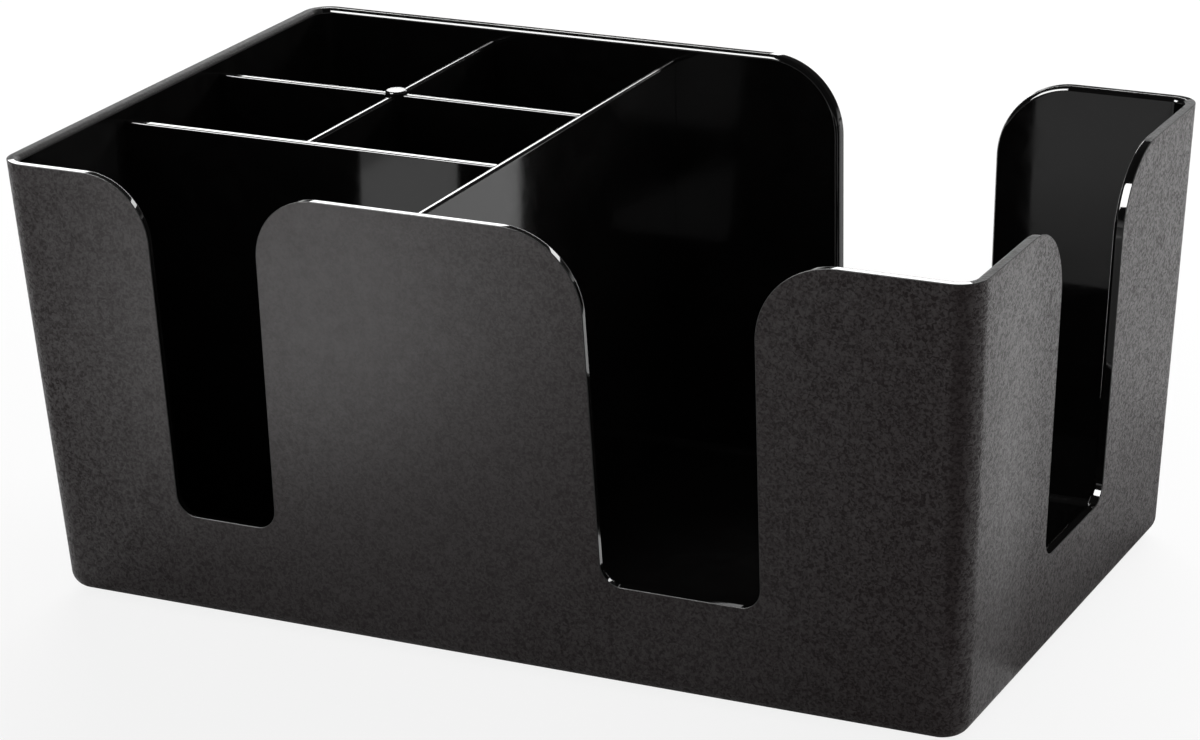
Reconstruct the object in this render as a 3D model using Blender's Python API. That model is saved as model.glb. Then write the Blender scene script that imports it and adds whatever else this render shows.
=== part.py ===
"""Six-compartment bar caddy: a drafted tub with open-topped cut-outs, four slot-in dividers and four rubber feet.

Run it with blender --background --python part.py, or from Blender's text editor. Units are metres and +Z is up.
The caddy stands on the plane Z = 0 with its middle over the origin. X runs along its length, left to right as seen
from the front, and Y runs from the front wall to the back wall.
"""

import math

import bmesh
import bpy

# Tub, sizes on its outer faces
RIM_LENGTH = 0.2410
RIM_WIDTH = 0.1490
TUB_HEIGHT = 0.1078
DRAFT = math.radians(3.1)
WALL = 0.0028
FLOOR = 0.0030
CORNER_RADIUS = 0.0065
BASE_RADIUS = 0.0040
FLOOR_FILLET = 0.0025
RIM_ROUNDING = 0.0008

# Cut-outs, open at the rim, with shoulders that roll out to it: widths along the sill, on the wall's outer face
NAPKIN_CUT_X = 0.0491
NAPKIN_CUT_WIDTH = 0.0386
NAPKIN_CUT_SHOULDER = 0.0195
STRAW_CUT_X = -0.0669
STRAW_CUT_WIDTH = 0.0260
STRAW_CUT_SHOULDER = 0.0160
SILL_HEIGHT = 0.0249
SILL_RADIUS = 0.0050
SIDE_DRAFT = math.radians(1.3)
SIDE_FLARE = math.radians(7.0)

# Dividers, placed from the middle of the tub
PARTITION_X = -0.0169
STRAW_DIVIDER_Y = -0.0234
REAR_DIVIDER_Y = 0.0206
DIVIDER_DROP = 0.0040
DIVIDER_TOP = 0.0020
DIVIDER_FOOT = 0.0026
LAP_HEIGHT = 0.0520

# Seats: grooves in the walls, the floor and the dividers, and the clearance that every fit keeps
WALL_GROOVE = 0.0009
FLOOR_GROOVE = 0.0008
DIVIDER_GROOVE = 0.0007
CLEARANCE = 0.0003

# Boss that caps the crossing of the rear and centre dividers
BOSS_RADIUS = 0.0027
BOSS_RISE = 0.0009
BOSS_DEPTH = 0.0040
BOSS_ROUNDING = 0.0005

# Rubber feet in round sockets under the floor
FOOT_RADIUS = 0.0060
FOOT_STAND = 0.0010
FOOT_CHAMFER = 0.0004
SOCKET_DEPTH = 0.0013
FOOT_INSET = 0.0150

# Facets
CORNER_STEPS = 10
BASE_STEPS = 5
FILLET_STEPS = 4
SHOULDER_STEPS = 16
SILL_STEPS = 6
RIM_STEPS = 3
CREST_STEPS = 3
ROUND_STEPS = 32

# How far a cutter runs on past the face it has to clear
OVERRUN = 0.0060
# The tightest corner that a mould cutter leaves
TIGHT_CORNER = 0.0002


def clear_scene():
    """Empties the scene without closing the file."""
    for thing in list(bpy.data.objects):
        bpy.data.objects.remove(thing, do_unlink=True)


def lean(z):
    """How far a drafted wall has moved outward between the rim and height z above the underside; negative below it."""
    return (z - TUB_HEIGHT) * math.tan(DRAFT)


def half_length(z):
    """Half the tub's outer length at height z."""
    return RIM_LENGTH / 2 + lean(z)


def half_width(z):
    """Half the tub's outer width at height z."""
    return RIM_WIDTH / 2 + lean(z)


def divider_thickness(z):
    """Thickness of a divider at height z: it thins from its foot to its crest."""
    share = (z - divider_bottom()) / (divider_crest() - divider_bottom())
    return DIVIDER_FOOT + (DIVIDER_TOP - DIVIDER_FOOT) * share


def divider_crest():
    """Height of the dividers' top edge."""
    return TUB_HEIGHT - DIVIDER_DROP


def divider_bottom():
    """Height of the dividers' lower edge, seated in the floor grooves."""
    return FLOOR - FLOOR_GROOVE + CLEARANCE


def left_seat(z):
    """X of a divider's end in the left wall's groove."""
    return -(half_length(z) - WALL) - WALL_GROOVE + CLEARANCE


def front_seat(z):
    """Y of a divider's end in the front wall's groove."""
    return -(half_width(z) - WALL) - WALL_GROOVE + CLEARANCE


def back_seat(z):
    """Y of a divider's end in the back wall's groove."""
    return -front_seat(z)


def partition_seat(z):
    """X of a divider's end in the groove on the partition's left face."""
    return PARTITION_X - divider_thickness(z) / 2 + DIVIDER_GROOVE - CLEARANCE


def straw_seat(z):
    """Y of the centre divider's end in the groove on the straw divider's rear face."""
    return STRAW_DIVIDER_Y + divider_thickness(z) / 2 - DIVIDER_GROOVE + CLEARANCE


def centre_divider_x():
    """The centre divider stands halfway between the left wall and the partition, measured at its crest."""
    z = divider_crest()
    left_face = -(half_length(z) - WALL)
    right_face = PARTITION_X - DIVIDER_TOP / 2
    return (left_face + right_face) / 2


def arc(centre_u, centre_v, radius, start, end, steps):
    """Points of an arc, angles in degrees."""
    points = []
    for step in range(steps + 1):
        angle = math.radians(start + (end - start) * step / steps)
        points.append((centre_u + radius * math.cos(angle), centre_v + radius * math.sin(angle)))
    return points


def rounded_rectangle(half_x, half_y, radius, steps):
    """Outline of a rectangle with round corners, counter-clockwise seen from above."""
    points = []
    for quarter, (side_x, side_y) in enumerate(((1, 1), (-1, 1), (-1, -1), (1, -1))):
        centre_x = side_x * (half_x - radius)
        centre_y = side_y * (half_y - radius)
        points += arc(centre_x, centre_y, radius, 90 * quarter, 90 * quarter + 90, steps)
    return points


def tub_ring(z, inset):
    """One level of the tub: its outer outline at height z, moved inward by inset."""
    radius = max(CORNER_RADIUS - inset, TIGHT_CORNER)
    outline = rounded_rectangle(half_length(z) - inset, half_width(z) - inset, radius, CORNER_STEPS)
    return [(x, y, z) for x, y in outline]


def wall_fillet(radius, level, inset, steps):
    """Rings of the fillet between the plane at this level and the drafted wall face at this inset, plane first."""
    slope = math.degrees(DRAFT)
    centre_z = level + radius
    centre_inset = inset + radius / math.cos(DRAFT)
    rings = []
    for across, z in arc(0.0, centre_z, radius, -90, -slope, steps):
        drift = lean(z) - lean(centre_z)
        rings.append(tub_ring(z, centre_inset + drift - across))
    return rings


def loft(name, rings):
    """A closed solid through rings of equal length, the first and the last of them capped."""
    bm = bmesh.new()
    levels = [[bm.verts.new(point) for point in ring] for ring in rings]
    count = len(rings[0])
    for lower, upper in zip(levels, levels[1:]):
        for i in range(count):
            j = (i + 1) % count
            bm.faces.new((lower[i], lower[j], upper[j], upper[i]))
    bm.faces.new(list(reversed(levels[0])))
    bm.faces.new(levels[-1])
    return finish(name, bm)


def finish(name, bm):
    """Turns the faces outward and makes an object of the mesh."""
    bmesh.ops.recalc_face_normals(bm, faces=bm.faces)
    mesh = bpy.data.meshes.new(name)
    bm.to_mesh(mesh)
    bm.free()
    thing = bpy.data.objects.new(name, mesh)
    bpy.context.scene.collection.objects.link(thing)
    return thing


def cutter(thing):
    """Marks an object as a tool that only cuts."""
    thing.hide_render = True
    thing.display_type = "WIRE"
    return thing


def apply_boolean(target, tool, operation):
    """Adds a Boolean modifier that uses the exact solver."""
    modifier = target.modifiers.new(f"{operation.lower()} {tool.name}", "BOOLEAN")
    modifier.operation = operation
    modifier.solver = "EXACT"
    modifier.object = tool


def cut_outline(side, shoulder, centre):
    """Outline (u, z) of a cut-out: round sill corners, drafted sides, and shoulders that end along the rim.

    Side is the distance from the centre to the line of a side where that line meets the sill.
    """
    slope = math.tan(SIDE_DRAFT)
    square_on = math.cos(SIDE_DRAFT)
    tilt = math.degrees(SIDE_DRAFT)
    corner_u = side + SILL_RADIUS * slope - SILL_RADIUS / square_on
    shoulder_z = TUB_HEIGHT - shoulder
    shoulder_u = side + (shoulder_z - SILL_HEIGHT) * slope + shoulder / square_on
    right = arc(corner_u, SILL_HEIGHT + SILL_RADIUS, SILL_RADIUS, -90, -tilt, SILL_STEPS)
    right += arc(shoulder_u, shoulder_z, shoulder, 180 - tilt, 90, SHOULDER_STEPS)
    right.append((shoulder_u + OVERRUN, TUB_HEIGHT + OVERRUN))
    left = [(-u, z) for u, z in reversed(right)]
    return [(centre + u, z) for u, z in right + left]


def wall_cutter(name, axis, direction, outer_face, width, shoulder, centre):
    """A cutter for one cut-out, through the wall on that axis and in that direction, 1 or -1.

    Outer_face gives the wall's distance from the middle at a height. The sides flare, so that the cut-out is a
    little wider inside the wall than outside.
    """
    sill_face = outer_face(SILL_HEIGHT)
    rings = []
    for distance in (outer_face(TUB_HEIGHT) + OVERRUN, sill_face - WALL - OVERRUN):
        side = width / 2 + (sill_face - distance) * math.tan(SIDE_FLARE)
        sweep = direction * distance
        outline = cut_outline(side, shoulder, centre)
        rings.append([(sweep, u, z) if axis == "x" else (u, sweep, z) for u, z in outline])
    return cutter(loft(name, rings))


def make_tub():
    """The tub: one loft up its outer faces, over the rim and down the inner ones, then the cut-outs."""
    rings = wall_fillet(BASE_RADIUS, 0.0, 0.0, BASE_STEPS)
    rings += [tub_ring(TUB_HEIGHT, 0.0), tub_ring(TUB_HEIGHT, WALL)]
    rings += reversed(wall_fillet(FLOOR_FILLET, FLOOR, WALL, FILLET_STEPS))
    tub = loft("tub", rings)

    napkin = (NAPKIN_CUT_WIDTH, NAPKIN_CUT_SHOULDER)
    straw = (STRAW_CUT_WIDTH, STRAW_CUT_SHOULDER)
    cutters = [
        wall_cutter("cut_napkin_front", "y", -1, half_width, *napkin, NAPKIN_CUT_X),
        wall_cutter("cut_napkin_back", "y", 1, half_width, *napkin, NAPKIN_CUT_X),
        wall_cutter("cut_straw_front", "y", -1, half_width, *straw, STRAW_CUT_X),
        wall_cutter("cut_right_end", "x", 1, half_length, *napkin, 0.0),
    ]
    for tool in cutters:
        apply_boolean(tub, tool, "DIFFERENCE")

    rounding = tub.modifiers.new("rim and cut-out rounding", "BEVEL")
    rounding.limit_method = "ANGLE"
    rounding.angle_limit = math.radians(50)
    rounding.width = RIM_ROUNDING
    rounding.segments = RIM_STEPS
    return tub


def plate_rings(axis, middle, low_end, high_end, bottom, top, grow):
    """Lower and upper outline of a drafted divider plate, every face moved outward by grow.

    The plate runs along the axis, its middle plane stands at middle on the other one, and its ends follow the
    functions of height low_end and high_end.
    """
    rings = []
    for z in (bottom - grow, top + grow):
        half = divider_thickness(z) / 2 + grow
        low = low_end(z) - grow
        high = high_end(z) + grow
        corners = [(low, middle - half), (high, middle - half), (high, middle + half), (low, middle + half)]
        rings.append([(u, v, z) if axis == "x" else (v, u, z) for u, v in corners])
    return rings


def round_crest(divider, axis):
    """Rounds the top edge of a divider over nearly its full thickness."""
    bm = bmesh.new()
    bm.from_mesh(divider.data)
    crest = divider_crest()
    along = 0 if axis == "x" else 1
    long_edges = []
    for edge in bm.edges:
        start, end = (vertex.co for vertex in edge.verts)
        on_crest = abs(start.z - crest) < CLEARANCE and abs(end.z - crest) < CLEARANCE
        if on_crest and abs(start[along] - end[along]) > DIVIDER_TOP:
            long_edges.append(edge)
    bmesh.ops.bevel(
        bm,
        geom=long_edges,
        offset=0.46 * DIVIDER_TOP,
        segments=CREST_STEPS,
        profile=0.5,
        affect="EDGES",
        clamp_overlap=True,
    )
    bm.to_mesh(divider.data)
    bm.free()


def make_divider(name, axis, middle, low_end, high_end):
    """A divider and the cutter, larger by the clearance, that makes its grooves."""
    bottom, crest = divider_bottom(), divider_crest()
    divider = loft(name, plate_rings(axis, middle, low_end, high_end, bottom, crest, 0.0))
    round_crest(divider, axis)
    groove = loft(f"groove_{name}", plate_rings(axis, middle, low_end, high_end, bottom, crest, CLEARANCE))
    return divider, cutter(groove)


def turned(name, profile, x=0.0, y=0.0):
    """A solid turned about an upright axis at (x, y) from a profile of (radius, z), bottom to top."""
    rings = []
    for radius, z in profile:
        outline = arc(x, y, radius, 0, 360, ROUND_STEPS)[:-1]
        rings.append([(u, v, z) for u, v in outline])
    return loft(name, rings)


def drum(name, radius, low, high, x=0.0, y=0.0):
    """An upright cylinder between two heights."""
    return turned(name, [(radius, low), (radius, high)], x, y)


def make_dividers(tub):
    """The four dividers, seated in the tub and in each other."""
    centre_x = centre_divider_x()
    partition, partition_groove = make_divider("napkin_partition", "y", PARTITION_X, front_seat, back_seat)
    straw, straw_groove = make_divider("straw_divider", "x", STRAW_DIVIDER_Y, left_seat, partition_seat)
    rear, rear_groove = make_divider("rear_divider", "x", REAR_DIVIDER_Y, left_seat, partition_seat)
    centre, centre_groove = make_divider("centre_divider", "y", centre_x, straw_seat, back_seat)

    for groove in (partition_groove, straw_groove, rear_groove, centre_groove):
        apply_boolean(tub, groove, "DIFFERENCE")
    apply_boolean(partition, straw_groove, "DIFFERENCE")
    apply_boolean(partition, rear_groove, "DIFFERENCE")
    apply_boolean(straw, centre_groove, "DIFFERENCE")

    # Halved crossing: the rear divider keeps its upper half and the centre divider its lower half
    lower_half = plate_rings(
        "y", centre_x, straw_seat, back_seat, divider_bottom() - OVERRUN, LAP_HEIGHT, CLEARANCE
    )
    apply_boolean(rear, cutter(loft("lap_under_rear", lower_half)), "DIFFERENCE")
    upper_half = plate_rings(
        "x",
        REAR_DIVIDER_Y,
        left_seat,
        partition_seat,
        LAP_HEIGHT + CLEARANCE,
        divider_crest() + OVERRUN,
        CLEARANCE,
    )
    apply_boolean(centre, cutter(loft("lap_over_centre", upper_half)), "DIFFERENCE")

    crest = divider_crest()
    cap = crest + BOSS_RISE - BOSS_ROUNDING
    profile = [(BOSS_RADIUS, crest - BOSS_DEPTH)]
    profile += arc(BOSS_RADIUS - BOSS_ROUNDING, cap, BOSS_ROUNDING, 0, 90, RIM_STEPS)
    boss = turned("boss", profile, centre_x, REAR_DIVIDER_Y)
    apply_boolean(rear, cutter(boss), "UNION")
    boss_room = drum(
        "boss_room",
        BOSS_RADIUS + CLEARANCE,
        crest - BOSS_DEPTH - CLEARANCE,
        crest + BOSS_RISE + OVERRUN,
        centre_x,
        REAR_DIVIDER_Y,
    )
    apply_boolean(centre, cutter(boss_room), "DIFFERENCE")
    return [partition, straw, rear, centre]


def make_feet(tub):
    """Four rubber feet, each in its own socket under a corner of the floor."""
    profile = [
        (FOOT_RADIUS - FOOT_CHAMFER, -FOOT_STAND),
        (FOOT_RADIUS, FOOT_CHAMFER - FOOT_STAND),
        (FOOT_RADIUS, SOCKET_DEPTH - CLEARANCE),
    ]
    pattern = turned("foot_pattern", profile)
    mesh = pattern.data
    bpy.data.objects.remove(pattern, do_unlink=True)

    reach_x = half_length(0.0) - FOOT_INSET
    reach_y = half_width(0.0) - FOOT_INSET
    feet = []
    for row, side_y in (("front", -1), ("back", 1)):
        for column, side_x in (("left", -1), ("right", 1)):
            place = (side_x * reach_x, side_y * reach_y, 0.0)
            foot = bpy.data.objects.new(f"foot_{row}_{column}", mesh)
            foot.location = place
            bpy.context.scene.collection.objects.link(foot)
            feet.append(foot)
            socket = drum(f"socket_{row}_{column}", FOOT_RADIUS + CLEARANCE, -OVERRUN, SOCKET_DEPTH)
            socket.location = place
            apply_boolean(tub, cutter(socket), "DIFFERENCE")
    return feet


def finish_material(thing, colour, roughness):
    """Gives a piece its own material and smooth shading with sharp edges kept."""
    material = bpy.data.materials.new(thing.name)
    material.use_nodes = True
    shader = material.node_tree.nodes["Principled BSDF"]
    shader.inputs["Base Color"].default_value = (*colour, 1.0)
    shader.inputs["Roughness"].default_value = roughness
    shader.inputs["Metallic"].default_value = 0.0
    if thing.data.users == 1:
        thing.data.materials.append(material)
    else:
        if not thing.data.materials:
            thing.data.materials.append(material)
        thing.material_slots[0].link = "OBJECT"
        thing.material_slots[0].material = material
    thing.data.shade_smooth()
    thing.data.set_sharp_from_angle(angle=math.radians(30))


def main():
    clear_scene()
    tub = make_tub()
    dividers = make_dividers(tub)
    feet = make_feet(tub)

    assembly = bpy.data.objects.new("bar_caddy", None)
    bpy.context.scene.collection.objects.link(assembly)
    assembly.location = (0.0, 0.0, FOOT_STAND)
    for thing in bpy.data.objects:
        if thing is not assembly:
            thing.parent = assembly

    finish_material(tub, (0.020, 0.019, 0.019), 0.45)
    for divider in dividers:
        finish_material(divider, (0.006, 0.006, 0.006), 0.12)
    for foot in feet:
        finish_material(foot, (0.030, 0.030, 0.030), 0.85)


main()
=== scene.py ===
# %% [markdown]
# # A moulded bar caddy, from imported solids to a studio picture
#
# The real object is a black plastic caddy for a bar top: a tub with slanting walls, four open-topped cut-outs to
# reach into, and low dividers that cross each other. All its character is in two finishes of one black plastic. The
# outside is grained and satin, and everything that was never grained (the rim, the cut edges, the inside) is glossy.
#
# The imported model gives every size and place. This lesson builds finer meshes for the pieces that the camera sees,
# and gives each piece its finish. First the frame is loaded, because all that follows is placed in it.

# %% Load the frame and measure it
import math

import bmesh
import bpy
from mathutils import Matrix, Vector


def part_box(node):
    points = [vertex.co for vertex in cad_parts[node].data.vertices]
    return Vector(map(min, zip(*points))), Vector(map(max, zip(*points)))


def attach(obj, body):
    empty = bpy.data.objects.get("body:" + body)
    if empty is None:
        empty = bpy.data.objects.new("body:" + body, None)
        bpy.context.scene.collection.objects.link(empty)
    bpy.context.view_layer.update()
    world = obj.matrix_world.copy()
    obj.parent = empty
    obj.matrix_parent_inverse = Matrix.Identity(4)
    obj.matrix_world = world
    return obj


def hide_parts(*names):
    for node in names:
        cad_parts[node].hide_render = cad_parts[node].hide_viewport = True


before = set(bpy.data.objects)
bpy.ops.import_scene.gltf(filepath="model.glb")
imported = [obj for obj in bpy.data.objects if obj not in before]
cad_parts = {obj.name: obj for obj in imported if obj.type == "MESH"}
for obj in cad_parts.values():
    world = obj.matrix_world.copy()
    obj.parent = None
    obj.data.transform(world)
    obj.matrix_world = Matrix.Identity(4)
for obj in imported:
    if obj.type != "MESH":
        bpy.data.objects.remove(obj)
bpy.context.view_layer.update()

print("solids:", ", ".join(sorted(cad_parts)))

# %% [markdown]
# ## Sizes
#
# A finer mesh has to be the same object, so it repeats the sizes of the solids. The heights are measured from the
# counter that the caddy stands on, and the feet lift the tub by a millimetre. The walls lean outward, so every level
# of the tub has its own half length and half width.

# %% Sizes of the tub, its cut-outs and its dividers, in metres
STAND = 0.0010
RIM = STAND + 0.1078
HALF_LENGTH = 0.1205
HALF_WIDTH = 0.0745
DRAFT = math.radians(3.1)
WALL = 0.0028
FLOOR = 0.0030
CORNER = 0.0065
BASE_ROUND = 0.0040
FLOOR_FILLET = 0.0025
OUTER_EDGE = 0.0002
INNER_EDGE = 0.0012
SILL = STAND + 0.0249
SILL_CORNER = 0.0050
SIDE_DRAFT = math.radians(1.3)
SIDE_FLARE = math.radians(7.0)
NAPKIN_X, NAPKIN_WIDTH, NAPKIN_SHOULDER = 0.0491, 0.0386, 0.0195
STRAW_X, STRAW_WIDTH, STRAW_SHOULDER = -0.0669, 0.0260, 0.0160

PARTITION_X = -0.0169
STRAW_Y = -0.0234
REAR_Y = 0.0206
CREST = RIM - 0.0040
FOOTING = STAND + FLOOR - 0.0008 + 0.0003
CREST_WIDTH = 0.0020
FOOTING_WIDTH = 0.0026
LAP = STAND + 0.0520
FIT = 0.0003
SEAM = 0.00006
BEYOND = 0.0060


def lean(z):
    return (z - RIM) * math.tan(DRAFT)


def divider_half(z):
    share = (z - FOOTING) / (CREST - FOOTING)
    return (FOOTING_WIDTH + (CREST_WIDTH - FOOTING_WIDTH) * share) / 2


CENTRE_X = (PARTITION_X - CREST_WIDTH / 2 - (HALF_LENGTH + lean(CREST) - WALL)) / 2
solid_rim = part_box("tub")[1].z
print("rim above the counter in mm:", round(1000 * solid_rim, 1), "here", round(1000 * RIM, 1))
print("centre divider at x in mm:", round(1000 * CENTRE_X, 2))

# %% [markdown]
# ## Shader sums as Python
#
# A node tree is a sum written as a drawing. It is easier to read as a sum, so a small class stands for one socket
# and lets Python's own signs add the Math nodes. Colours and vectors don't go through it: a Math node would turn a
# colour grey, so they are mixed with Mix nodes. Every other node comes from one method, which first makes the
# node's settings, because some settings change which sockets the node has, and then fills its sockets.

# %% One class for a socket, one for a tree


class Signal:
    """The output of a node, ready to be used in a sum."""

    def __init__(self, tree, socket):
        self.tree = tree
        self.socket = socket

    def sum(self, operation, first, second):
        return self.tree.node("ShaderNodeMath", {"operation": operation}, {0: first, 1: second})

    def __add__(self, other):
        return self.sum("ADD", self, other)

    def __radd__(self, other):
        return self.sum("ADD", other, self)

    def __sub__(self, other):
        return self.sum("SUBTRACT", self, other)

    def __rsub__(self, other):
        return self.sum("SUBTRACT", other, self)

    def __mul__(self, other):
        return self.sum("MULTIPLY", self, other)

    def __rmul__(self, other):
        return self.sum("MULTIPLY", other, self)

    def or_else(self, other):
        return self.sum("MAXIMUM", self, other)


class Tree:
    """A node tree that is built from calls."""

    def __init__(self, owner):
        owner.use_nodes = True
        self.nodes = owner.node_tree.nodes
        self.links = owner.node_tree.links
        self.nodes.clear()

    def node(self, kind, settings=None, sockets=None, give=0):
        made = self.nodes.new(kind)
        for name, value in (settings or {}).items():
            if name == "stops":
                for place, (position, grey) in enumerate(value):
                    stops = made.color_ramp.elements
                    stop = stops[place] if place < len(stops) else stops.new(position)
                    stop.position = position
                    stop.color = (grey, grey, grey, 1.0)
            else:
                setattr(made, name, value)
        for name, value in (sockets or {}).items():
            if isinstance(value, Signal):
                self.links.new(value.socket, made.inputs[name])
            else:
                made.inputs[name].default_value = value
        return Signal(self, made.outputs[give]) if made.outputs else None


def blend_colours(tree, share, first, second):
    """A Mix node for colours. Its colour sockets are numbers 6 and 7, and its colour output is number 2."""
    return tree.node("ShaderNodeMix", {"data_type": "RGBA"}, {0: share, 6: first, 7: second}, give=2)


print("shader helpers ready")

# %% [markdown]
# ## The grained outside
#
# The outside of the mould is spark-eroded, which leaves a fine worm-like grain less than a millimetre across. It is a
# relief, so it belongs in the bump first. Two noises of different sizes make it: the first is bent by its own
# distortion into short worms, and the second adds the finer pits. The same height darkens the colour in the pits,
# where little light gets in.
#
# The tops of the grain are smoother than the pits, so they carry a sheen. A coat stands for it: its weight follows
# the height, and a slower noise lets it come and go in blotches. High in the middle of the front a mask that fades
# with the distance from that place paints a patch of sheen: it lowers the relief, lightens the colour and raises the
# coat there. Two more such masks move the coat alone: painted sheen up along the near corner of the end wall, and
# painted shade down at the far left. The right end of the front wall has painted shade too, less coat up to where the
# corner's rounding meets the end wall. That border leans with the walls, so its mask takes the lean off first. All of
# it is measured in the object's own metres, so the grain has the same size on every wall.

# %% Grained black plastic


def mask_round(tree, local, centre, spread, solid):
    """A mask that is 1 near this place and fades to 0 with the distance, which is measured with its own scales."""
    away = tree.node("ShaderNodeVectorMath", {"operation": "SUBTRACT"}, {0: local, 1: centre})
    apart = tree.node("ShaderNodeVectorMath", {"operation": "MULTIPLY"}, {0: away, 1: spread})
    distance = tree.node("ShaderNodeVectorMath", {"operation": "LENGTH"}, {0: apart}, give="Value")
    return tree.node("ShaderNodeValToRGB", {"stops": [(solid, 1.0), (1.0, 0.0)]}, {"Fac": distance})


def rise(tree, value, low, high):
    """A mask that rises from 0 to 1 as the value goes from low to high."""
    return tree.node("ShaderNodeMapRange", {}, {"Value": value, "From Min": low, "From Max": high})


def make_grained_plastic():
    material = bpy.data.materials.new("grained_plastic")
    tree = Tree(material)
    local = tree.node("ShaderNodeTexCoord", give="Object")
    place = tree.node("ShaderNodeVectorMath", {"operation": "MULTIPLY"}, {0: local, 1: (1.0, 0.7, 1.0)})
    worms = tree.node(
        "ShaderNodeTexNoise",
        {"noise_dimensions": "3D"},
        {"Vector": place, "Scale": 1250.0, "Detail": 1.0, "Roughness": 0.50, "Distortion": 0.9},
    )
    pits = tree.node(
        "ShaderNodeTexNoise",
        {"noise_dimensions": "3D"},
        {"Vector": place, "Scale": 2600.0, "Detail": 1.0, "Roughness": 0.5, "Distortion": 0.3},
    )
    shaped = tree.node("ShaderNodeValToRGB", {"stops": [(0.36, 0.0), (0.64, 1.0)]}, {"Fac": worms})
    blotch = tree.node("ShaderNodeTexNoise", {}, {"Vector": place, "Scale": 300.0, "Detail": 2.0, "Roughness": 0.6})
    drift = tree.node("ShaderNodeTexNoise", {}, {"Vector": place, "Scale": 26.0, "Detail": 3.0, "Roughness": 0.55})
    # Painted light: a patch of painted sheen high in the middle of the front, painted sheen up the near corner of the
    # end wall, and painted shade at the far left.
    painted_sheen_middle = mask_round(tree, local, (-0.034, -0.074, 0.090), (11.5, 20.0, 10.0), 0.15)
    painted_sheen_corner = mask_round(tree, local, (0.119, -0.049, 0.050), (20.0, 46.0, 8.0), 0.20)
    painted_shade_left = mask_round(tree, local, (-0.120, -0.073, 0.066), (22.0, 20.0, 20.0), 0.30)
    # The painted sheen patch also flattens the relief and lightens the colour.
    height = (shaped * 0.65 + pits * 0.35) * (1.0 - 0.75 * painted_sheen_middle) + 0.70 * painted_sheen_middle
    relief = tree.node("ShaderNodeBump", {}, {"Strength": 1.0, "Distance": 0.00014, "Height": height}, give="Normal")
    shade = height * 0.75 + drift * 0.25
    colour = blend_colours(tree, shade, (0.0190, 0.0148, 0.0150, 1.0), (0.0450, 0.0358, 0.0360, 1.0))
    x, y, z = (tree.node("ShaderNodeSeparateXYZ", {}, {0: local}, give=axis) for axis in ("X", "Y", "Z"))
    leaned = (z - RIM) * math.tan(DRAFT)
    # Painted shade on the right end of the front wall: the coat is lowered there.
    front_side = rise(tree, 0.0 - y - leaned, 0.0665, 0.0690)
    painted_shade_right = rise(tree, x - leaned, 0.066, 0.108)
    coat = 0.68 * height + 0.42 * blotch - 0.12
    coat = coat + 0.32 * painted_sheen_middle + 0.28 * painted_sheen_corner - 0.16 * painted_shade_left - 0.20 * (front_side * painted_shade_right)
    finish = tree.node(
        "ShaderNodeBsdfPrincipled",
        {},
        {
            "Base Color": colour,
            "Roughness": 0.40 - 0.08 * height + 0.05 * drift,
            "IOR": 1.15,
            "Normal": relief,
            "Coat Weight": coat.or_else(0.0),
            "Coat Roughness": 0.34,
            "Coat IOR": 1.65,
        },
        give="BSDF",
    )
    tree.node("ShaderNodeOutputMaterial", {}, {"Surface": finish})
    print("grained plastic:", len(tree.nodes), "nodes")
    return material


grained_plastic = make_grained_plastic()

# %% [markdown]
# ## The dull edges
#
# On the outer edges and on the rims of the end walls the grain runs out. What is left is a dull, slightly uneven
# surface. It spreads a lamp's reflection into a soft grey band, where polished plastic would draw a white line.

# %% Dull black plastic


def make_dull_plastic():
    material = bpy.data.materials.new("dull_plastic")
    tree = Tree(material)
    place = tree.node("ShaderNodeTexCoord", give="Object")
    grain = tree.node(
        "ShaderNodeTexNoise",
        {},
        {"Vector": place, "Scale": 1300.0, "Detail": 1.0, "Roughness": 0.5, "Distortion": 0.6},
    )
    relief = tree.node("ShaderNodeBump", {}, {"Strength": 1.0, "Distance": 0.00010, "Height": grain}, give="Normal")
    colour = blend_colours(tree, grain, (0.0110, 0.0104, 0.0104, 1.0), (0.0300, 0.0284, 0.0280, 1.0))
    finish = tree.node(
        "ShaderNodeBsdfPrincipled",
        {},
        {"Base Color": colour, "Roughness": 0.54 - 0.22 * grain, "IOR": 1.49, "Normal": relief},
        give="BSDF",
    )
    tree.node("ShaderNodeOutputMaterial", {}, {"Surface": finish})
    print("dull plastic:", len(tree.nodes), "nodes")
    return material


dull_plastic = make_dull_plastic()

# %% [markdown]
# ## The glossy inside
#
# The same black plastic against a polished mould face is nearly a mirror. What tells it from lacquer is that it isn't
# quite flat: the walls shrink a little as they cool, which bends reflections, and handling leaves faint smears. So
# this finish has a very long, low ripple in its bump, and a roughness that wanders within a narrow range.

# %% Glossy black plastic


def make_glossy_plastic(name, ripple, roughness):
    material = bpy.data.materials.new(name)
    tree = Tree(material)
    place = tree.node("ShaderNodeTexCoord", give="Object")
    shrink = tree.node("ShaderNodeTexNoise", {}, {"Vector": place, "Scale": 34.0, "Detail": 1.0, "Roughness": 0.4})
    smears = tree.node(
        "ShaderNodeTexNoise",
        {},
        {"Vector": place, "Scale": 90.0, "Detail": 4.0, "Roughness": 0.6, "Distortion": 1.2},
    )
    worn = tree.node("ShaderNodeValToRGB", {"stops": [(0.42, 0.0), (0.78, 1.0)]}, {"Fac": smears})
    relief = tree.node("ShaderNodeBump", {}, {"Strength": ripple, "Distance": 0.0004, "Height": shrink}, give="Normal")
    colour = blend_colours(tree, worn, (0.0045, 0.0042, 0.0042, 1.0), (0.0075, 0.0072, 0.0070, 1.0))
    finish = tree.node(
        "ShaderNodeBsdfPrincipled",
        {},
        {"Base Color": colour, "Roughness": roughness + 0.05 * worn, "IOR": 1.49, "Normal": relief},
        give="BSDF",
    )
    tree.node("ShaderNodeOutputMaterial", {}, {"Surface": finish})
    print(name + ":", len(tree.nodes), "nodes")
    return material


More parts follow.
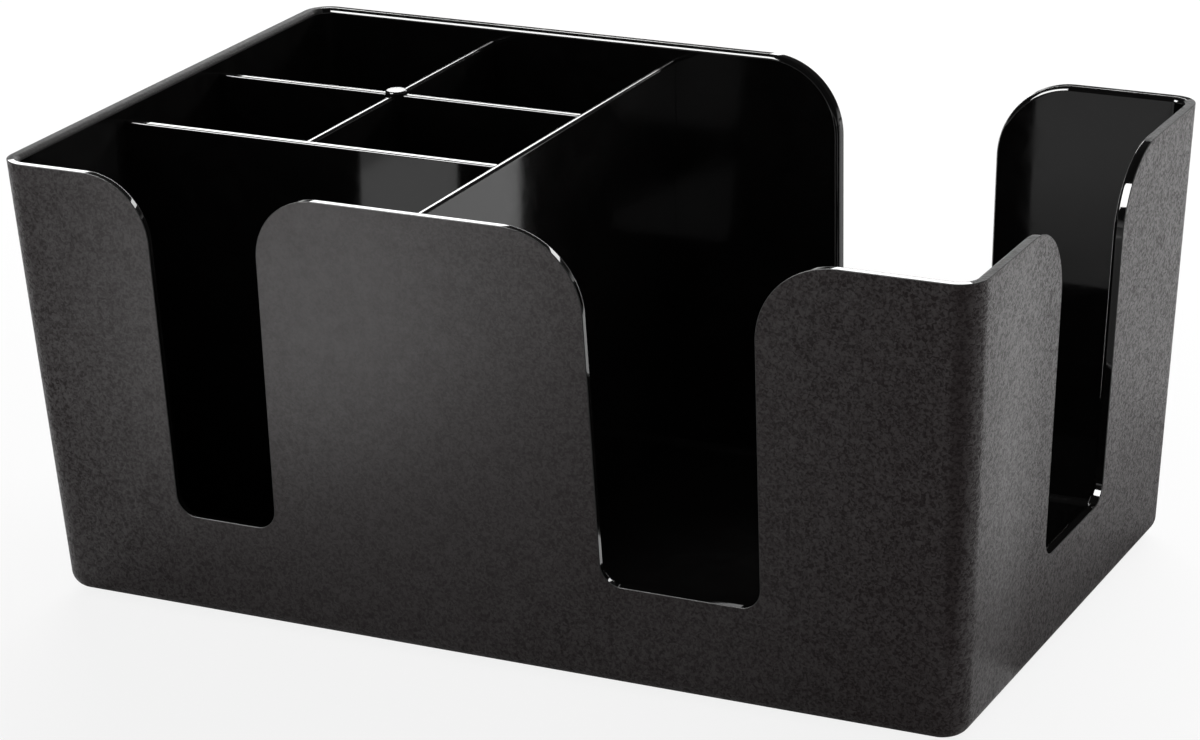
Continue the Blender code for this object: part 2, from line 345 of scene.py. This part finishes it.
glossy_plastic = make_glossy_plastic("glossy_plastic", 0.20, 0.035)
divider_plastic = make_glossy_plastic("divider_plastic", 0.12, 0.060)

# %% [markdown]
# ## The rubber of the feet
#
# The feet are soft black rubber: dull, a little dusty where they touch the counter, and with the faint pimples of a
# moulded part that came out of a rough tool. A high roughness and a small bump are enough.

# %% Rubber


def make_rubber():
    material = bpy.data.materials.new("foot_rubber")
    tree = Tree(material)
    place = tree.node("ShaderNodeTexCoord", give="Object")
    pimples = tree.node("ShaderNodeTexVoronoi", {"feature": "SMOOTH_F1"}, {"Vector": place, "Scale": 1400.0})
    dust = tree.node("ShaderNodeTexNoise", {}, {"Vector": place, "Scale": 260.0, "Detail": 5.0, "Roughness": 0.65})
    relief = tree.node("ShaderNodeBump", {}, {"Strength": 0.4, "Distance": 0.0001, "Height": pimples}, give="Normal")
    colour = blend_colours(tree, dust, (0.022, 0.022, 0.022, 1.0), (0.050, 0.048, 0.045, 1.0))
    finish = tree.node(
        "ShaderNodeBsdfPrincipled",
        {},
        {"Base Color": colour, "Roughness": 0.72 + 0.16 * dust, "IOR": 1.52, "Normal": relief},
        give="BSDF",
    )
    tree.node("ShaderNodeOutputMaterial", {}, {"Surface": finish})
    print("foot rubber:", len(tree.nodes), "nodes")
    return material


foot_rubber = make_rubber()

# %% [markdown]
# ## Tools for lofted solids
#
# Nearly every face here is swept: the tub through its levels, a cutter along its depth, a divider up its height. So
# one loft serves them all. It joins rings of equal length with quads and closes both ends. Each band between two
# rings may carry a material number, which is how the tub knows its grained faces from its glossy ones, and a Boolean
# passes the cutter's number on to the faces that it cuts.

# %% Outlines, lofts and Booleans
GRAINED, GLOSSY, DULL = 0, 1, 2


def arc(centre_u, centre_v, radius, start, end, steps):
    points = []
    for step in range(steps + 1):
        angle = math.radians(start + (end - start) * step / steps)
        points.append((centre_u + radius * math.cos(angle), centre_v + radius * math.sin(angle)))
    return points


def keep(name, bm, materials=()):
    """Makes a smooth-shaded object of the mesh, its faces turned outward."""
    bmesh.ops.recalc_face_normals(bm, faces=bm.faces)
    mesh = bpy.data.meshes.new(name)
    bm.to_mesh(mesh)
    bm.free()
    mesh.shade_smooth()
    for material in materials:
        mesh.materials.append(material)
    thing = bpy.data.objects.new(name, mesh)
    bpy.context.scene.collection.objects.link(thing)
    return thing


def loft(name, rings, bands=None, materials=()):
    """bands holds a material number for each band of faces, then one for each end cap."""
    bm = bmesh.new()
    levels = [[bm.verts.new(point) for point in ring] for ring in rings]
    bands = bands or [GLOSSY] * (len(rings) + 1)
    for low, high, number in zip(levels, levels[1:], bands):
        for i in range(len(low)):
            j = (i + 1) % len(low)
            bm.faces.new((low[i], low[j], high[j], high[i])).material_index = number
    bm.faces.new(list(reversed(levels[0]))).material_index = bands[-2]
    bm.faces.new(levels[-1]).material_index = bands[-1]
    return keep(name, bm, materials)


def settle(thing):
    """Applies an object's modifiers, so that what follows works on the finished mesh."""
    view = bpy.context.evaluated_depsgraph_get()
    settled = bpy.data.meshes.new_from_object(thing.evaluated_get(view))
    thing.modifiers.clear()
    thing.data = settled


def combine(thing, tools, operation="DIFFERENCE"):
    """Cuts or joins with each tool in turn, then throws the tools away."""
    for tool in tools:
        step = thing.modifiers.new(tool.name, "BOOLEAN")
        step.operation, step.solver, step.object = operation, "EXACT", tool
    settle(thing)
    for tool in tools:
        bpy.data.objects.remove(tool, do_unlink=True)


print("loft tools ready")

# %% [markdown]
# ## The tub
#
# A moulded tub with slanting walls is one skin of even thickness. Its outside is a rounded rectangle at every level,
# which the loft follows from the rounded base to the rim, over the rim, and down the inside to the fillet of the
# floor. Because the corners' radius shrinks by the wall's thickness on the way in, the wall stays even round corners.
#
# The cut-outs are then cut by wedges. Their outline has round sill corners, sides that spread a little as they rise,
# and shoulders that roll out to the rim on a large radius, which is what gives this caddy its look. The cut is also
# narrower on the outside than on the inside, so that the steel that shaped it could draw out of the wall. That flare
# is small, but it turns the polished sides towards the room, and decides what they reflect.

# %% Levels of the tub
CORNER_STEPS, BASE_STEPS, FILLET_STEPS, SILL_STEPS, SHOULDER_STEPS = 14, 8, 6, 12, 30


def tub_level(z, inset):
    half_x, half_y = HALF_LENGTH + lean(z) - inset, HALF_WIDTH + lean(z) - inset
    radius = CORNER - inset
    points = []
    for quarter, (side_x, side_y) in enumerate(((1, 1), (-1, 1), (-1, -1), (1, -1))):
        middle = (side_x * (half_x - radius), side_y * (half_y - radius))
        points += arc(*middle, radius, 90 * quarter, 90 * quarter + 90, CORNER_STEPS)
    return [(x, y, z) for x, y in points]


def fillet_levels(radius, level, inset, steps):
    """The levels of a fillet between a flat at this height and the slanting wall at this inset, flat first."""
    middle_z, middle_inset = level + radius, inset + radius / math.cos(DRAFT)
    levels = []
    for across, z in arc(0.0, middle_z, radius, -90, -math.degrees(DRAFT), steps):
        levels.append(tub_level(z, middle_inset + lean(z) - lean(middle_z) - across))
    return levels


outer_levels = fillet_levels(BASE_ROUND, STAND, 0.0, BASE_STEPS) + [tub_level(RIM, 0.0)]
inner_levels = [tub_level(RIM, WALL)] + fillet_levels(FLOOR_FILLET, STAND + FLOOR, WALL, FILLET_STEPS)[::-1]
bands = [GRAINED] * (len(outer_levels) - 1) + [GLOSSY] * len(inner_levels) + [GRAINED, GLOSSY]
tub = loft("caddy_tub", outer_levels + inner_levels, bands, [grained_plastic, glossy_plastic, dull_plastic])
print("tub before cutting:", len(tub.data.polygons), "faces")

# %% Cut-outs


def cut_outline(side, shoulder, centre):
    """The outline at one depth. Its sides stand at this distance from its middle at the height of the sill."""
    slope = math.tan(SIDE_DRAFT)
    square_on = math.cos(SIDE_DRAFT)
    tilt = math.degrees(SIDE_DRAFT)
    corner_u = side + SILL_CORNER * slope - SILL_CORNER / square_on
    shoulder_z = RIM - shoulder
    shoulder_u = side + (shoulder_z - SILL) * slope + shoulder / square_on
    right = arc(corner_u, SILL + SILL_CORNER, SILL_CORNER, -90, -tilt, SILL_STEPS)
    right += arc(shoulder_u, shoulder_z, shoulder, 180 - tilt, 90, SHOULDER_STEPS)
    right.append((shoulder_u + BEYOND, RIM + BEYOND))
    left = [(-u, z) for u, z in reversed(right)]
    return [(centre + u, z) for u, z in right + left]


def wall_cutter(name, axis, direction, half, width, shoulder, centre):
    """A wedge through one wall. The width is the cut's own width on the outside of the wall, at the sill."""
    sill_face = half + lean(SILL)
    rings = []
    for distance in (half + BEYOND, sill_face - WALL - BEYOND):
        outline = cut_outline(width / 2 + (sill_face - distance) * math.tan(SIDE_FLARE), shoulder, centre)
        sweep = direction * distance
        rings.append([(sweep, u, z) if axis == "x" else (u, sweep, z) for u, z in outline])
    return loft(name, rings)


napkin = (NAPKIN_WIDTH, NAPKIN_SHOULDER)
straw = (STRAW_WIDTH, STRAW_SHOULDER)
combine(
    tub,
    [
        wall_cutter("napkin_cut_front", "y", -1, HALF_WIDTH, *napkin, NAPKIN_X),
        wall_cutter("napkin_cut_back", "y", 1, HALF_WIDTH, *napkin, NAPKIN_X),
        wall_cutter("straw_cut", "y", -1, HALF_WIDTH, *straw, STRAW_X),
        wall_cutter("end_cut", "x", 1, HALF_LENGTH, *napkin, 0.0),
    ],
)
print("tub with its cut-outs:", len(tub.data.polygons), "faces")

# %% [markdown]
# ## Rounded edges
#
# No moulded edge is sharp, and a round edge is where the lamps show, so these roundings draw the whole caddy. An edge
# between a grained and a glossy face is on the outside of the wall, where the halves of the mould meet. Its rounding
# is tight, and dull like the grained half. An edge between two glossy faces is on the inside, rounder and as glossy
# as they are. So the outer edges are rounded first, then the inner ones, each with its own radius and finish. A Bevel
# modifier takes the edges of each kind from their weights.

# %% Round the outer edges, then the inner ones
SHARP = math.radians(50)
WEIGHT = "bevel_weight_edge"


def round_edges(thing, kind, radius, segments, finish):
    bm = bmesh.new()
    bm.from_mesh(thing.data)
    weight = bm.edges.layers.float.get(WEIGHT) or bm.edges.layers.float.new(WEIGHT)
    count = 0
    for edge in bm.edges:
        sharp = len(edge.link_faces) == 2 and edge.calc_face_angle() > SHARP
        chosen = sharp and min(face.material_index for face in edge.link_faces) == kind
        edge[weight] = float(chosen)
        count += chosen
    bm.to_mesh(thing.data)
    bm.free()
    bevel = thing.modifiers.new("edges", "BEVEL")
    bevel.limit_method = "WEIGHT"
    bevel.offset_type = "OFFSET"
    bevel.width = radius
    bevel.segments = segments
    bevel.material = finish
    settle(thing)
    return count


for kind, radius, segments, finish in ((GRAINED, OUTER_EDGE, 5, DULL), (GLOSSY, INNER_EDGE, 8, GLOSSY)):
    count = round_edges(tub, kind, radius, segments, finish)
    print("edges rounded to", round(1000 * radius, 1), "mm:", count, "faces now:", len(tub.data.polygons))

# %% [markdown]
# ## Which rims are dull
#
# The flat top of the front and back walls is polished like the inside, but on the two end walls it is as dull as the
# outside, so it shows as a soft grey band there and not as a mirror. On the far left one the rounding is dull too.
# Along the back wall even the outer edge is polished, so that rim stands dark against the white behind it. After the
# rounding each of these is a strip of faces of its own, and can be told by its height and place.

# %% Dull rims on the end walls, a polished one at the back
RIM_FLAT_DEPTH = 0.0003
RIM_ROUND_DEPTH = INNER_EDGE + 0.0001
dull = polished = 0
for face in tub.data.polygons:
    x, y, z = face.center
    depth = RIM_FLAT_DEPTH if x > 0.0 else RIM_ROUND_DEPTH
    if z > RIM - depth and abs(x) - HALF_LENGTH > abs(y) - HALF_WIDTH:
        face.material_index = DULL
        dull += 1
    elif face.material_index == DULL and y - HALF_WIDTH > abs(x) - HALF_LENGTH:
        face.material_index = GLOSSY
        polished += 1
print("faces of the end rims made dull:", dull, "and of the back wall's edges polished:", polished)

# %% [markdown]
# ## The dividers
#
# Four thin plates make the grid: the long partition beside the napkins, and three lower ones on its left. They are
# drafted too, thinner at the crest than at the foot, and the crest is rounded over, which is what catches the light
# as a bright thread. The two plates that run from front to back have the rounder crests and the thinner threads.
# Each stands in shallow grooves, in the same places as the solids but with a closer seam, since no gap shows on the
# real one. At the crossing the rear divider keeps its upper half, the centre divider its lower half, and a small
# round boss caps the joint.

# %% Plates and the places where they stand
CREST_STEPS = 7
CREST_ROUNDING = {"x": 0.22, "y": 0.36}
WALL_GROOVE, GROOVE = 0.0009, 0.0007


def left_seat(z):
    return -(HALF_LENGTH + lean(z) - WALL) - WALL_GROOVE + FIT


def front_seat(z):
    return -(HALF_WIDTH + lean(z) - WALL) - WALL_GROOVE + FIT


def back_seat(z):
    return -front_seat(z)


def partition_seat(z):
    return PARTITION_X - divider_half(z) + GROOVE - FIT


def straw_seat(z):
    return STRAW_Y + divider_half(z) - GROOVE + FIT


def plate_outline(axis, middle, ends, z, half, grow):
    low, high = ends[0](z) - grow, ends[1](z) + grow
    corners = [(low, middle - half), (high, middle - half), (high, middle + half), (low, middle + half)]
    return [(u, v, z) if axis == "x" else (v, u, z) for u, v in corners]


def block(name, axis, middle, ends, bottom, top, grow=0.0):
    """A plate with square edges, every face moved outward by grow."""
    rings = [plate_outline(axis, middle, ends, z, divider_half(z) + grow, grow) for z in (bottom - grow, top + grow)]
    return loft(name, rings)


def plate(name, axis, middle, ends):
    """A divider: its faces lean in as they rise, and its crest is a narrow flat between two roundings."""
    radius = CREST_ROUNDING[axis] * CREST_WIDTH
    flat = CREST_WIDTH / 2 - radius
    rings = [plate_outline(axis, middle, ends, FOOTING, divider_half(FOOTING), 0.0)]
    for across, z in arc(flat, CREST - radius, radius, 0, 90, CREST_STEPS):
        rings.append(plate_outline(axis, middle, ends, z, across, 0.0))
    return loft(name, rings, materials=[divider_plastic])


WALKS = {
    "partition": ("y", PARTITION_X, (front_seat, back_seat)),
    "straw": ("x", STRAW_Y, (left_seat, partition_seat)),
    "rear": ("x", REAR_Y, (left_seat, partition_seat)),
    "centre": ("y", CENTRE_X, (straw_seat, back_seat)),
}
plates = {name: plate("caddy_" + name + "_divider", *walk) for name, walk in WALKS.items()}
print("plates:", ", ".join(plates))

# %% Grooves, crossing and boss


def groove(name):
    return block("groove", *WALKS[name], FOOTING, CREST, SEAM)


DRUM_STEPS, BOSS_STEPS = 48, 6


def drum(name, profile, x, y):
    rings = []
    for radius, z in profile:
        rings.append([(u, v, z) for u, v in arc(x, y, radius, 0, 360, DRUM_STEPS)[:-1]])
    return loft(name, rings)


BOSS, BOSS_RISE, BOSS_DEPTH, BOSS_EDGE = 0.0027, 0.0009, 0.0040, 0.0005
combine(tub, [groove(name) for name in WALKS])
combine(plates["partition"], [groove("straw"), groove("rear")])
combine(plates["straw"], [groove("centre")])
combine(plates["rear"], [block("lower_half", *WALKS["centre"], FOOTING - BEYOND, LAP, SEAM)])
boss = [(BOSS, CREST - BOSS_DEPTH)]
boss += arc(BOSS - BOSS_EDGE, CREST + BOSS_RISE - BOSS_EDGE, BOSS_EDGE, 0, 90, BOSS_STEPS)
combine(plates["rear"], [drum("boss", boss, CENTRE_X, REAR_Y)], "UNION")
boss_room = [(BOSS + SEAM, CREST - BOSS_DEPTH - SEAM), (BOSS + SEAM, CREST + BOSS_RISE + BEYOND)]
upper_half = block("upper_half", *WALKS["rear"], LAP + SEAM, CREST + BEYOND, SEAM)
combine(plates["centre"], [upper_half, drum("boss_room", boss_room, CENTRE_X, REAR_Y)])
for name, thing in plates.items():
    print(name, "divider:", len(thing.data.polygons), "faces")

# %% [markdown]
# ## The feet
#
# Four round rubber feet sit in shallow sockets under the floor. The solids of the feet already have the right shape,
# so they stay and only get their finish. The finer tub needs the same sockets for them.

# %% Sockets in the tub, and the feet's finish
SOCKET = 0.0013
foot_names = ["foot_front_left", "foot_front_right", "foot_back_left", "foot_back_right"]
sockets = []
for name in foot_names:
    low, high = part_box(name)
    middle, radius = (low + high) / 2, (high.x - low.x) / 2 + FIT
    sockets.append(drum("socket", [(radius, STAND - BEYOND), (radius, STAND + SOCKET)], middle.x, middle.y))
    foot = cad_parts[name]
    foot.data.materials.clear()
    foot.data.materials.append(foot_rubber)
combine(tub, sockets)
print("feet:", len(foot_names), "tub faces:", len(tub.data.polygons))

# %% [markdown]
# ## Clean shading
#
# A wall is one big face and a rounding is a strip of small ones. Smooth shading alone would bend the light of the big
# face towards the strip. Weighted normals let the big face decide, so that flats stay flat and only the roundings
# turn. Edges that are really sharp, such as those of the grooves, are marked first.

# %% Weighted normals, and each piece takes its place in the frame


CREASE = math.radians(40)
FLATS_LEAD = 90


def clean_shading(thing):
    thing.data.shade_smooth()
    thing.data.set_sharp_from_angle(angle=CREASE)
    weigh = thing.modifiers.new("flats lead", "WEIGHTED_NORMAL")
    weigh.keep_sharp = True
    weigh.weight = FLATS_LEAD


stands_for = {
    "partition": "napkin_partition",
    "straw": "straw_divider",
    "rear": "rear_divider",
    "centre": "centre_divider",
}
clean_shading(tub)
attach(tub, "root")
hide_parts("tub")
for name, thing in plates.items():
    clean_shading(thing)
    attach(thing, "root")
    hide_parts(stands_for[name])
print("pieces in place:", 1 + len(plates))

# %% [markdown]
# ## Floor and background
#
# A product picture on white needs a floor that reads as white and yet holds the object down with a shadow. The floor
# is a plain matt white, mixed with a white glow where the camera, a reflection or a refraction looks at it. The glow
# is white itself, so more of it only brings the floor closer to white, and the shadow shows through the rest.

# %% A wide pale floor
FLOOR_RADIUS, FLOOR_STEPS = 14.0, 96


def make_floor():
    bm = bmesh.new()
    ring = [bm.verts.new((x, y, 0.0)) for x, y in arc(0.0, 0.0, FLOOR_RADIUS, 0, 360, FLOOR_STEPS)[:-1]]
    bm.faces.new(ring)
    material = bpy.data.materials.new("studio_floor")
    tree = Tree(material)
    ray = tree.node("ShaderNodeLightPath", give="Is Camera Ray")
    glossy = tree.node("ShaderNodeLightPath", give="Is Glossy Ray")
    through = tree.node("ShaderNodeLightPath", give="Is Transmission Ray")
    matt = tree.node("ShaderNodeBsdfDiffuse", {}, {"Color": (0.86, 0.86, 0.86, 1.0)}, give="BSDF")
    glow = tree.node("ShaderNodeEmission", {}, {"Color": (1.0, 1.0, 1.0, 1.0), "Strength": 1.0})
    share = 0.86 * ray + 0.06 * glossy.or_else(through)
    mixed = tree.node("ShaderNodeMixShader", {}, {0: share, 1: matt, 2: glow})
    tree.node("ShaderNodeOutputMaterial", {}, {"Surface": mixed})
    return keep("studio_floor", bm, [material])


floor = make_floor()
print("floor laid")

# %% [markdown]
# ## The air of the studio
#
# The world is the room round the floor. For the camera it is white all over. As a light it is weak and even, because
# the lamps do the work. In a reflection it has to be a room: white where the backdrop rises from the floor, and dark
# above, where the ceiling is. Glossy black plastic shows nothing else but this room, and without a dark ceiling all
# its flats would be grey. Generated coordinates in a world are the direction that a ray leaves in, so their z is the
# sine of its height over the horizon, and a ramp turns that height into white or dark.

# %% World light
world = bpy.data.worlds.new("studio_air")
bpy.context.scene.world = world
tree = Tree(world)
direction = tree.node("ShaderNodeTexCoord", give="Generated")
height = tree.node("ShaderNodeSeparateXYZ", {}, {0: direction}, give="Z")
room = tree.node("ShaderNodeValToRGB", {"stops": [(0.04, 1.0), (0.16, 0.05)]}, {"Fac": height})
to_camera = tree.node("ShaderNodeLightPath", give="Is Camera Ray")
mirrored = tree.node("ShaderNodeLightPath", give="Is Glossy Ray")
through = tree.node("ShaderNodeLightPath", give="Is Transmission Ray")
AIR_LIGHT = 0.30
air = tree.node(
    "ShaderNodeBackground",
    {},
    {
        "Color": (1.0, 1.0, 1.0, 1.0),
        "Strength": to_camera.or_else(mirrored.or_else(through) * room)
        + AIR_LIGHT * (1.0 - to_camera.or_else(mirrored.or_else(through))),
    },
    give="Background",
)
tree.node("ShaderNodeOutputWorld", {}, {"Surface": air})
print("world light:", AIR_LIGHT)

# %% [markdown]
# ## Lamps
#
# Glossy black plastic has hardly a colour of its own: what one sees is the studio in it. So a lamp has one of two
# works here, to light the scene or to be seen in a reflection. A wide soft lamp stands low behind the caddy. It
# lights the floor and throws the shadow to the front, which keeps the foot of the front wall dark, but no reflection
# shows it. Close to it stands a dimmer one that only reflections show, and that draws the rims and the dividers'
# crests as white threads. It is a little nearer, because of two lamps in one place only one would be seen.
#
# A smaller and brighter one stands in front, high on the left. It gives the grain its sheen and puts the bright bar on
# the shoulder of the end wall. A low card on the floor lifts the left of the front wall a little. These two also show
# in reflections only, and the camera itself sees none of the lamps.

# %% Soft lamps
AIM_HEIGHT = 0.09


def soft_lamp(name, place, aim_x, along, width, length, radiance):
    """A rectangular lamp that faces the rim at this x, with its length as near to one direction as that allows."""
    place = Vector(place)
    out = (place - Vector((aim_x, 0.0, AIM_HEIGHT))).normalized()
    side = Vector(along).cross(out).normalized()
    lamp = bpy.data.lights.new(name, "AREA")
    lamp.shape = "RECTANGLE"
    lamp.size, lamp.size_y = width, length
    lamp.energy = radiance * math.pi * width * length
    thing = bpy.data.objects.new(name, lamp)
    turn = Matrix((side, out.cross(side), out)).transposed().to_4x4()
    thing.matrix_world = Matrix.Translation(place) @ turn
    thing.visible_camera = False
    bpy.context.scene.collection.objects.link(thing)
    print(name, "power", round(lamp.energy, 2), "W")
    return thing


softbox = soft_lamp("back_softbox", (-0.19, 1.50, 0.75), 0.0, (0.0, 0.0, 1.0), 2.30, 0.34, 22.0)
softbox_seen = soft_lamp("back_softbox_seen", (-0.42, 1.434, 0.645), -0.42, (0.0, 0.0, 1.0), 1.84, 0.15, 7.0)
key = soft_lamp("front_key", (-0.32, -0.36, 0.50), 0.0, (0.0, 1.0, 0.83), 0.30, 0.38, 26.0)
card = soft_lamp("floor_card", (-0.14, -0.25, 0.004), 0.0, (0.0, 1.0, 0.0), 0.14, 0.21, 0.6)
card.rotation_euler = (math.pi, 0.0, 0.0)
softbox.visible_glossy = False
for thing in (softbox_seen, key, card):
    thing.visible_diffuse = False

# %% [markdown]
# ## Painted shade in the reflections
#
# The grained walls reflect the pale floor at a low angle. Two sheets lie on it that paint shade into that reflection,
# and only reflections show them: a black one before the near corner, and a grey one along the foot of the end wall.

# %% Sheets of painted shade on the floor
PAINTED_SHADE_HEIGHT = 0.003


def painted_shade_sheet(name, shade, low, high):
    bm = bmesh.new()
    corners = [(low[0], low[1]), (high[0], low[1]), (high[0], high[1]), (low[0], high[1])]
    bm.faces.new([bm.verts.new((x, y, PAINTED_SHADE_HEIGHT)) for x, y in corners])
    material = bpy.data.materials.new(name)
    tree = Tree(material)
    matt = tree.node("ShaderNodeBsdfDiffuse", {}, {"Color": (shade, shade, shade, 1.0)}, give="BSDF")
    tree.node("ShaderNodeOutputMaterial", {}, {"Surface": matt})
    thing = keep(name, bm, [material])
    thing.visible_camera = thing.visible_diffuse = thing.visible_shadow = False
    print(name, "laid")


# Painted shade: a black sheet before the near corner, a grey one along the foot of the end wall.
painted_shade_sheet("front_painted_shade", 0.02, (0.125, -0.34), (0.30, -0.09))
painted_shade_sheet("end_painted_shade", 0.50, (0.113, -0.03), (0.142, 0.14))

# %% [markdown]
# ## The camera
#
# The camera was solved from the straight edges of the caddy in the photograph: rims, base and corners. It stands in
# front and a little to the right, about a metre away, and looks down by twenty degrees through a long lens. The
# picture had been cropped off centre, which a small lens shift repeats.

# %% Camera at the photograph's place
IMAGE_WIDTH = 1200
AZIMUTH, ELEVATION, ROLL = math.radians(25.526), math.radians(20.112), math.radians(-1.239)
DISTANCE, SIDE, UP = 0.960515, 0.010844, 0.047679 + STAND
FOCAL, CENTRE = 4028.3, 660.0

level = Vector((math.cos(AZIMUTH), math.sin(AZIMUTH), 0.0))
back = Vector((math.sin(AZIMUTH) * math.cos(ELEVATION), -math.cos(AZIMUTH) * math.cos(ELEVATION), math.sin(ELEVATION)))
above = back.cross(level)
right = math.cos(ROLL) * level + math.sin(ROLL) * above
up = -math.sin(ROLL) * level + math.cos(ROLL) * above
lens = bpy.data.cameras.new("product_camera")
lens.sensor_fit = "HORIZONTAL"
lens.sensor_width = 36.0
lens.lens = FOCAL * 36.0 / IMAGE_WIDTH
lens.shift_x = (IMAGE_WIDTH / 2 - CENTRE) / IMAGE_WIDTH
lens.clip_start, lens.clip_end = 0.05, 60.0
camera = bpy.data.objects.new("product_camera", lens)
turn = Matrix((right, up, back)).transposed().to_4x4()
camera.matrix_world = Matrix.Translation(Vector((0.0, 0.0, UP)) + SIDE * level + DISTANCE * back) @ turn
bpy.context.scene.collection.objects.link(camera)
bpy.context.scene.camera = camera
print("camera at", [round(value, 3) for value in camera.location], "lens", round(lens.lens, 1), "mm")

# %% [markdown]
# ## Last measures
#
# The view transform is the plain one, so that a colour shows as it is written.

# %% Colour
bpy.context.scene.view_settings.view_transform = "Standard"
